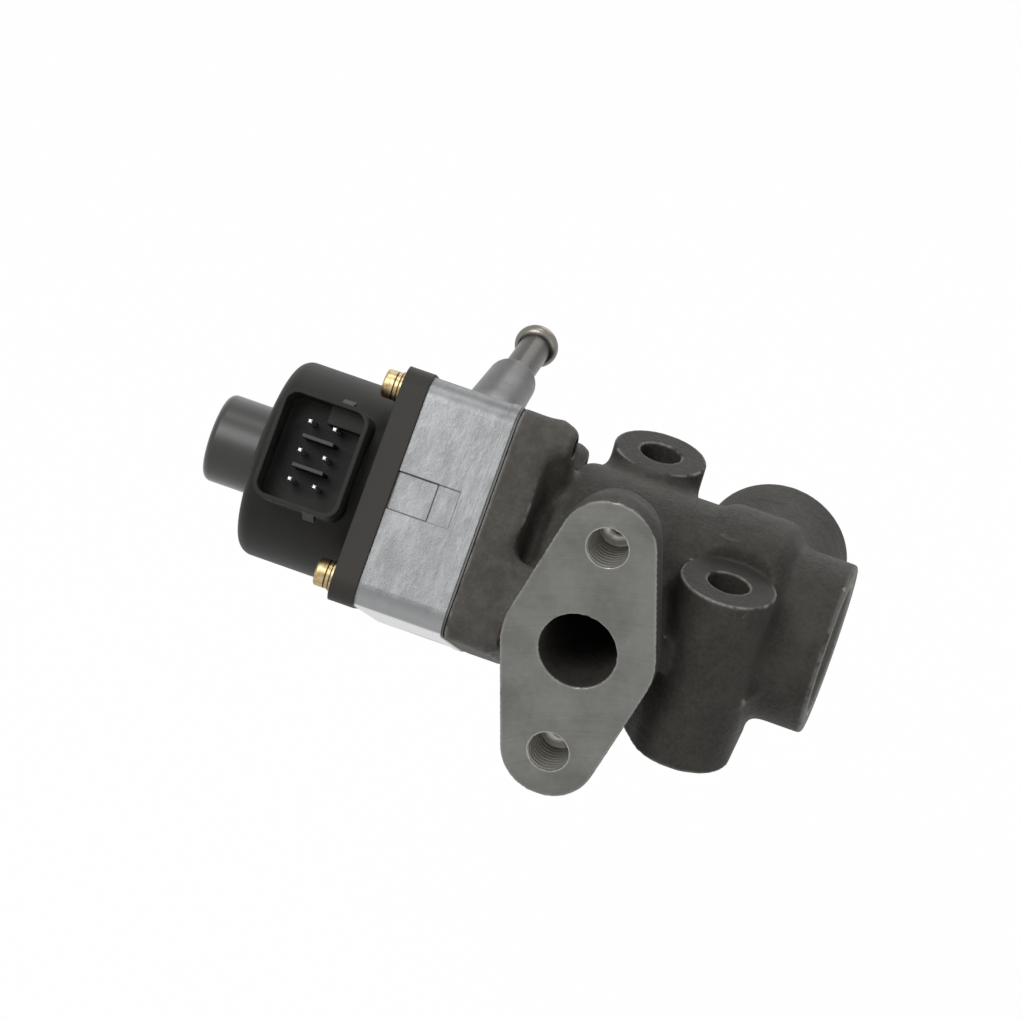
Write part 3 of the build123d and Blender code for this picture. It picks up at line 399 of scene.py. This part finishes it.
def cast_aluminium():
    """Die cast aluminium with flow marks, scratches, bright worn edges, darker pipe bosses, and painted
    light, shadow and floor reflection on the block.
    """
    metal = Finish("cast_aluminium")
    flow = metal.noise(3.0 * MM, 4.0, 0.6, metal.stretched((1.0, 0.45, 0.45))).within(0.34, 0.66)
    cloud = metal.noise(9.0 * MM, 4.0, 0.6).within(0.34, 0.66)
    fine = metal.noise(0.45 * MM, 3.0, 0.6)
    scratch = metal.noise(2.2 * MM, 2.0, 0.7, metal.stretched((0.35, 6.0, 1.5))).within(0.24, 0.31)
    round_pipes = either(*(hole_mask(metal.x, metal.z, (PIPE_X, z), PIPE_BOSS_RADIUS) for z in PIPES))
    boss = round_pipes * metal.y.beyond(6.0 * MM, 10.0 * MM)
    forward, upward = metal.turned()
    underside_floor_reflection = upward.within(BLOCK_FOOT - 0.4 * MM, BLOCK_FOOT) * (1 - boss)

    # Painted shadow: dark lines along the edges of the two shallow pads in the front face, next to the motor
    inside_width = abs(upward).within(PAD_HALF_WIDTH + 0.05 * MM, PAD_HALF_WIDTH + 0.15 * MM)
    pad_side_shade = [
        plane_mask(abs(upward), PAD_HALF_WIDTH, width * MM) * metal.x.within(end, end + 0.2 * MM)
        for width, end in ((0.13, PAD_END), (0.1, SMALL_PAD_END))
    ]
    pad_edge_shade = forward.within(BLOCK_FRONT - 0.4 * MM, BLOCK_FRONT) * either(
        plane_mask(metal.x, PAD_END, 0.16 * MM) * inside_width,
        plane_mask(metal.x, SMALL_PAD_END, 0.1 * MM) * inside_width * 0.5,
        pad_side_shade[0],
        pad_side_shade[1] * 0.5,
    )

    colour = metal.mix(flow * 0.3 + cloud * 0.3 + fine * 0.4, (0.125, 0.129, 0.131), (0.25, 0.255, 0.258))
    # Painted light: the rounded lower edge of the block painted lighter, as if lit like its front face
    foot_painted_light = upward.within(BLOCK_FOOT + 0.9 * MM, BLOCK_FOOT + 4.4 * MM)
    colour = metal.mix(foot_painted_light * 0.6, colour, (0.42, 0.425, 0.43))
    colour = metal.mix(scratch * 0.3, colour, (0.42, 0.42, 0.42))
    colour = metal.mix(boss * (0.62 + cloud * 0.3), colour, (0.06, 0.06, 0.057))
    # Painted reflection: the block's underside painted near white, standing in for the white floor it
    # reflects
    colour = metal.mix(underside_floor_reflection * 0.8, colour, (0.9, 0.9, 0.9))
    colour = metal.mix(metal.wear(0.35 * MM) * 0.3, colour, (0.5, 0.5, 0.5))
    metal.set(
        # Painted shadow along the pad edges
        Base_Color=metal.mix(pad_edge_shade * 0.75, colour, (0.03, 0.03, 0.03)),
        Metallic=0.9,
        Roughness=0.33 + fine * 0.2 - boss * 0.06,
        Normal=metal.bump(flow * 0.6 + fine * 0.4, 0.05 * MM, normal=metal.worn_edge(0.3 * MM)),
    )
    return metal


def moulded_black():
    """Glass filled black plastic of the motor and its connector, smoother on the nose."""
    plastic = Finish("black_plastic")
    grain = plastic.noise(0.25 * MM, 3.0)
    tone = plastic.noise(9.0 * MM, 2.0)
    nose = plastic.x.within(NOSE_ROOT_X - 0.4 * MM, NOSE_ROOT_X)
    lighter_edges = plastic.wear(0.35 * MM)

    # The connector's well, painted darker than the outside as the shade inside it
    low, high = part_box("connector_pins")
    middle = (low + high) / 2
    reach = (plastic.x - middle.x) ** 2 + (plastic.y - middle.y) ** 2 + (plastic.z - middle.z) ** 2
    well_painted_shade = (reach**0.5).within(8.0 * MM, 10.0 * MM)

    colour = plastic.mix(tone, (0.013, 0.0127, 0.0118), (0.026, 0.0248, 0.0226))
    colour = plastic.mix(well_painted_shade * 0.85, colour, (0.003, 0.003, 0.0028))
    forward = plastic.turned()[0]
    # Painted highlights: the tops of the ribs and keys in the well painted lighter, as lit
    colour = plastic.mix(plane_mask(forward, RIB_TOP, 0.15 * MM) * well_painted_shade, colour, (0.075, 0.074, 0.07))
    colour = plastic.mix(plane_mask(forward, KEY_TOP, 0.15 * MM) * well_painted_shade, colour, (0.02, 0.02, 0.019))
    motor_flange = plastic.x.beyond(SPACER_FACE - MOTOR_FLANGE, 0.3 * MM)
    colour = plastic.mix(motor_flange * 0.6, colour, (0.055, 0.05, 0.044))
    plastic.set(
        Base_Color=plastic.mix(lighter_edges * 0.4, colour, (0.05, 0.049, 0.047)),
        Specular_IOR_Level=0.15,
        Roughness=0.42 - nose * 0.09 + grain * 0.1,
        Coat_Weight=nose * 0.9,
        Coat_Roughness=0.38,
        Normal=plastic.bump(grain + tone * 2, 0.035 * MM, normal=plastic.worn_edge(0.4 * MM)),
    )
    return plastic


def plain_metal(name, colour, roughness, metallic=1.0, spread=0.15):
    """Turned, pressed or plated metal, or plain plastic without metallic, with a fine change of tone."""
    metal = Finish(name)
    tone = metal.noise(1.2 * MM, 3.0)
    dark = tuple(part * (1 - spread) for part in colour)
    light = tuple(min(1.0, part * (1 + spread)) for part in colour)
    metal.set(
        Base_Color=metal.mix(tone, dark, light),
        Metallic=metallic,
        Roughness=roughness + tone * 0.1,
        Normal=metal.bump(tone, 0.02 * MM, normal=metal.worn_edge(0.15 * MM)),
    )
    return metal


def pipe_steel():
    """Drawn steel of the coolant pipes, dull along the pipe, with the rolled bead painted brighter as a
    highlight.
    """
    steel = plain_metal("steel_pipe", (0.06, 0.0555, 0.0495), 0.28, spread=1 / 3)
    # Painted highlight: the bead painted brighter
    bead_highlight = steel.y.beyond(PIPE_END - BEAD_LENGTH, 0.4 * MM)
    steel.set(Base_Color=steel.mix(bead_highlight, steel.colour, (0.2, 0.185, 0.165)))
    return steel


def yellow_zinc():
    """Yellow passivated screws and washers, their threaded tips beyond the joint plate painted dark as the
    shade of their pockets, with painted shadow in the gaps at the washers.
    """
    zinc = Finish("yellow_zinc_steel")
    tone = zinc.noise(1.0 * MM, 4.0, 0.65)
    # Painted shade: the tips beyond the joint plate painted dark, as the shade of the pockets they sit in
    shaded_tip = zinc.x.within(TIP_END - 0.3 * MM, TIP_END) - zinc.x.within(TIP_START, TIP_START + 0.6 * MM)
    colour = zinc.mix(tone.within(0.3, 0.7), (0.56, 0.465, 0.275), (0.38, 0.25, 0.11))
    rings = (zinc.x * (2 * pi / SCREW_PITCH)).maths("SINE") * 0.5 + 0.5
    # Painted shadow: dark lines at the washer faces, in the gaps between head, washers and flange
    washer_faces = [corner.x for node in ("flat_washers", "spring_washers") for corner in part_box(node)]
    washer_gap_shade = either(*(plane_mask(zinc.x, face, 0.13 * MM) for face in washer_faces))
    colour = zinc.mix(washer_gap_shade * 0.92, colour, (0.02, 0.015, 0.008))
    zinc.set(
        Base_Color=zinc.mix(shaded_tip * (1 - rings * 0.4), colour, (0.06, 0.048, 0.03)),
        Metallic=1.0,
        Roughness=0.28 + tone * 0.16,
        Normal=zinc.bump(rings * shaded_tip, 0.35 * MM, normal=zinc.worn_edge(0.15 * MM)),
    )
    return zinc


finishes = {
    "cast_iron_body": cast_iron(),
    "cast_aluminium": cast_aluminium(),
    "black_plastic": moulded_black(),
    "white_plastic": plain_metal("white_plastic", (0.70, 0.68, 0.62), 0.45, metallic=0.0),
    "graphite_seal": plain_metal("graphite_seal", (0.05, 0.05, 0.05), 0.5, metallic=0.0),
    "bronze_bush": plain_metal("bronze_bush", (0.40, 0.27, 0.13), 0.4),
    "steel_pipe": pipe_steel(),
    "yellow_zinc_steel": yellow_zinc(),
    "bright_steel": plain_metal("bright_steel", (0.50, 0.50, 0.50), 0.3),
    "heat_steel": plain_metal("heat_steel", (0.25, 0.24, 0.23), 0.4),
    "spring_steel": plain_metal("spring_steel", (0.20, 0.19, 0.18), 0.35),
    "copper_wire": plain_metal("copper_wire", (0.50, 0.20, 0.08), 0.35),
    "ferrite_magnet": plain_metal("ferrite_magnet", (0.05, 0.05, 0.055), 0.55, metallic=0.0),
    "tinned_brass": plain_metal("tinned_brass", (0.70, 0.70, 0.68), 0.3),
    "body_gasket": plain_metal("gasket_steel", (0.10, 0.10, 0.098), 0.45),
    "black_rubber": plain_metal("black_rubber", (0.02, 0.02, 0.02), 0.5, metallic=0.0),
}
for subpart in frame["record"]["subparts"]:
    part = nodes[subpart["node"]]
    part.data.materials.clear()
    finish = finishes.get(subpart["node"], finishes[subpart["material_slot"]])
    part.data.materials.append(finish.material)


def select_only(piece):
    """Makes one object the selected and active one."""
    bpy.ops.object.select_all(action="DESELECT")
    piece.select_set(True)
    bpy.context.view_layer.objects.active = piece


def merged_copy(node, name):
    """A copy of a CAD node with its loose triangles joined, to be worked on as a new piece."""
    piece = nodes[node].copy()
    piece.data = nodes[node].data.copy()
    piece.name = name
    piece.parent = None
    bpy.context.collection.objects.link(piece)
    select_only(piece)
    bpy.ops.object.mode_set(mode="EDIT")
    bpy.ops.mesh.select_all(action="SELECT")
    bpy.ops.mesh.remove_doubles(threshold=1e-6)
    bpy.ops.object.mode_set(mode="OBJECT")
    return piece


def apply_modifier(piece, kind, **settings):
    """Adds one modifier, sets it and applies it."""
    modifier = piece.modifiers.new(kind.title(), kind)
    for name, value in settings.items():
        setattr(modifier, name, value)
    bpy.ops.object.modifier_apply(modifier=modifier.name)


def about(p, axis, x=0.0, y=0.0, z=0.0):
    """Distance of a point from a line along one axis."""
    gap = Vector((p.x - x, p.y - y, p.z - z))
    gap[axis] = 0.0
    return gap.length


def is_inside(p):
    """Whether a point lies in the gas way, in a drilled hole or in a screw's pocket."""
    if about(p, 0, z=AXIS_HEIGHT) < AXIS_WAY or about(p, 2) < OUTLET_WAY:
        return True
    if p.y > 0 and about(p, 1, x=SIDE_X, z=AXIS_HEIGHT) < SIDE_WAY:
        return True
    if min(about(p, 2, x=x, y=y) for x, y in MOUNT_BOLTS) < BOLT_WAY:
        return True
    if p.y < 0 and about(p, 1, x=INLET_X, z=AXIS_HEIGHT) < INLET_WAY:
        return True
    if p.y < 0 and min(about(p, 1, x=INLET_X, z=z) for z in INLET_BOLTS) < TAPPED_WAY:
        return True
    return min(about(p, 0, y=y, z=z) for y, z in SCREWS) < SCREW_WAY


def is_crease(edge):
    """Whether an edge is an inner corner on the casting's outside, where the foundry leaves a fillet."""
    if len(edge.link_faces) != 2 or edge.calc_face_angle_signed(0.0) > -radians(20):
        return False
    return not any(is_inside(vertex.co) for vertex in edge.verts)


def creases(piece):
    """Points along a casting's inner corners, to be searched by distance."""
    shape = bmesh.new()
    shape.from_mesh(piece.data)
    points = []
    for edge in filter(is_crease, shape.edges):
        start, end = (vertex.co for vertex in edge.verts)
        steps = max(1, round((end - start).length / (0.8 * MM)))
        points += [start.lerp(end, step / steps) for step in range(steps + 1)]
    shape.free()
    tree = KDTree(len(points))
    for index, point in enumerate(points):
        tree.insert(point, index)
    tree.balance()
    return tree


def fillet_core(p):
    """Radius in millimetres of the rod that swells the fillet at a place, by the depth of the corner."""
    rear, column = (about(p, 2, x=x, y=y) for x, y in MOUNT_BOLTS)
    if p.z > COLUMN_TOP - 1.5 * MM and column < 12.0 * MM:
        return 0.0
    if -11.0 * MM < p.x < -1.0 * MM and -30.0 * MM < p.y < -17.0 * MM:
        return WEB_CORE
    if rear < 13.0 * MM and p.z > 20.0 * MM:
        return BOSS_CORE
    return COLUMN_CORE if column < 13.0 * MM else SMALL_CORE


def crease_rods(piece, size):
    """Rods along those inner corners of a casting that take one fillet size."""
    rods = piece.copy()
    rods.data = piece.data.copy()
    bpy.context.collection.objects.link(rods)
    shape = bmesh.new()
    shape.from_mesh(rods.data)
    kept = {edge for edge in shape.edges if is_crease(edge) and fillet_core(edge.verts[0].co) == size}
    bmesh.ops.delete(shape, geom=[edge for edge in shape.edges if edge not in kept], context="EDGES_FACES")
    bmesh.ops.delete(shape, geom=shape.faces[:], context="FACES_ONLY")
    shape.to_mesh(rods.data)
    shape.free()
    select_only(rods)
    bpy.ops.object.convert(target="CURVE")
    rods.data.bevel_depth, rods.data.bevel_resolution, rods.data.use_fill_caps = size * MM, 2, True
    bpy.ops.object.convert(target="MESH")
    return rods


def machined(p):
    """How far a point is from the nearest machined face or bolt hole."""
    reach = min(
        abs(p.y - INLET_FACE),
        abs(p.x - BODY_HIGH.x),
        abs(p.x - BODY_LOW.x),
        abs(p.y - BODY_HIGH.y),
        abs(p.z),
        min(abs(about(p, 2, x=x, y=y) - BOLT_RADIUS) for x, y in MOUNT_BOLTS),
    )
    for top, (x, y) in zip(MOUNT_TOPS, MOUNT_BOLTS):
        if about(p, 2, x=x, y=y) < TOP_REACH:
            reach = min(reach, abs(p.z - top))
    return reach


def softness(p, gap):
    """How much a place is smoothed, by its gap from an inner corner: hardly at all on a machined face."""
    fillet = min(1.0, max(0.0, (7.0 * MM - gap) / (3.5 * MM)))
    if fillet and is_inside(p):
        return 0.3 if min(about(p, 0, y=y, z=z) for y, z in SCREWS) < 6.0 * MM else 0.06
    free = min(1.0, max(0.0, (machined(p) - 0.4 * MM) / (1.2 * MM)))
    return 0.05 + free * (0.08 + 0.87 * fillet)


def rod(start, end, y, z, radius):
    """Rod along the valve axis, sizes in millimetres, that fills out the casting."""
    bpy.ops.mesh.primitive_cylinder_add(
        vertices=64,
        radius=radius * MM,
        depth=(end - start) * MM,
        location=((start + end) / 2 * MM, y * MM, z * MM),
        rotation=(0, pi / 2, 0),
    )
    return bpy.context.object


def cast_body():
    """The iron casting with foundry fillets in its inner corners, its faces and holes kept crisp."""
    body = merged_copy("valve_body", "cast_valve_body")
    corners = creases(body)
    rods = [crease_rods(body, size) for size in (WEB_CORE, BOSS_CORE, COLUMN_CORE, SMALL_CORE)]
    rods += [rod(*WEB_SPAN, y, z, radius) for y, z, radius in WEB_RODS]
    outward, sideways = Vector((-cos(CLOCK), sin(CLOCK))), Vector((sin(CLOCK), cos(CLOCK)))
    for place in SCREWS[:2]:
        for side in (-POCKET_RADIUS, 0.0, POCKET_RADIUS):
            middle = Vector(place) / MM + outward * POCKET_DEPTH + sideways * side
            rods.append(rod(*POCKET_SPAN, *middle, POCKET_RADIUS))
    select_only(body)
    for filler in rods:
        filler.select_set(True)
    bpy.ops.object.join()
    apply_modifier(body, "REMESH", mode="VOXEL", voxel_size=VOXEL)

    levels = {}
    for vertex in body.data.vertices:
        weight = softness(vertex.co, corners.find(vertex.co)[2])
        levels.setdefault(round(weight, 2), []).append(vertex.index)
    soft = body.vertex_groups.new(name="soft")
    for weight, indices in levels.items():
        soft.add(indices, weight, "REPLACE")
    apply_modifier(body, "SMOOTH", vertex_group="soft", factor=0.5, iterations=SMOOTHING_ROUNDS)
    apply_modifier(body, "DECIMATE", ratio=min(1.0, CAST_TRIANGLES / (2 * len(body.data.polygons))))
    body.vertex_groups.clear()
    bpy.ops.object.shade_smooth_by_angle(angle=SMOOTH_ANGLE)
    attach(body, "housing")
    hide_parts("valve_body")


def coiled_spring():
    """The return spring as a joined, smooth-shaded copy in place of the hidden CAD node."""
    spring = merged_copy("return_spring", "coiled_return_spring")
    bpy.ops.object.shade_smooth_by_angle(angle=SMOOTH_ANGLE)
    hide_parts("return_spring")
    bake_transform(spring)


def sees_white(tree):
    """1 for the rays that meet the white background, 0 for those that light the valve."""
    rays = ("Is Camera Ray", "Is Glossy Ray", "Is Transmission Ray")
    return either(*(add_node(tree, "ShaderNodeLightPath", output=ray) for ray in rays))


def studio():
    """White room: a pale floor under the valve, and white where the camera sees past it."""
    bpy.ops.object.select_all(action="DESELECT")
    bpy.ops.mesh.primitive_plane_add(size=3.0, location=(VIEW_TARGET.x, 0.0, cad_box[0].z - FLOOR_DROP))
    floor = bpy.context.object
    floor.name = "studio_floor"
    paint = Finish("floor_white")
    paint.set(Base_Color=(0.9, 0.9, 0.9), Roughness=0.9)
    glow = paint.node("ShaderNodeEmission", {"Color": (1.0, 1.0, 1.0), "Strength": 1.0})
    shaders = {0: sees_white(paint.tree) * 0.985, 1: Shade(paint.shader.outputs[0]), 2: glow}
    connect(
        paint.tree,
        paint.tree.nodes["Material Output"].inputs["Surface"],
        paint.node("ShaderNodeMixShader", shaders),
    )
    floor.data.materials.append(paint.material)

    world = bpy.data.worlds.new("studio_air")
    bpy.context.scene.world = world
    world.use_nodes = True
    tree = world.node_tree
    connect(tree, tree.nodes["Background"].inputs["Color"], (1.0, 1.0, 1.0))
    connect(tree, tree.nodes["Background"].inputs["Strength"], 0.3 + sees_white(tree) * 0.7)


def lamp(name, place, power, size):
    """Square soft lamp that looks at the valve from a place counted from the view's target."""
    data = bpy.data.lights.new(name, "AREA")
    data.energy, data.size = power, size
    light = bpy.data.objects.new(name, data)
    bpy.context.collection.objects.link(light)
    light.location = VIEW_TARGET + Vector(place)
    light.rotation_euler = (-Vector(place)).to_track_quat("-Z", "Y").to_euler()


def camera():
    """The photograph's long lens camera, rolled so that the valve hangs as it does there."""
    azimuth, elevation, roll = (radians(angle) for angle in (VIEW_AZIMUTH, VIEW_ELEVATION, VIEW_ROLL))
    back = Vector((sin(azimuth) * cos(elevation), -cos(azimuth) * cos(elevation), sin(elevation)))
    level = Vector((cos(azimuth), sin(azimuth), 0.0))
    upright = back.cross(level)
    right = level * cos(roll) + upright * sin(roll)
    up = upright * cos(roll) - level * sin(roll)
    data = bpy.data.cameras.new("photo_camera")
    data.sensor_width = 36.0
    data.lens = FOCAL_PIXELS / FRAME_PIXELS * data.sensor_width
    data.clip_start = 0.01
    view = bpy.data.objects.new("photo_camera", data)
    bpy.context.collection.objects.link(view)
    view.matrix_world = Matrix.Translation(VIEW_TARGET + back * VIEW_DISTANCE) @ (
        Matrix((right, up, back)).transposed().to_4x4()
    )
    bpy.context.scene.camera = view


cast_body()
coiled_spring()
studio()
lamp("key_lamp", (-0.35, -0.6, 0.6), 4.2, 0.45)
lamp("fill_lamp", (0.7, -0.6, 0.25), 0.6, 0.6)
lamp("rim_lamp", (0.1, 0.7, 0.5), 1.4, 0.5)
lamp("top_lamp", (-0.13, 0.0, 0.95), 1.1, 0.2)
camera()
bpy.context.scene.view_settings.view_transform = "Standard"
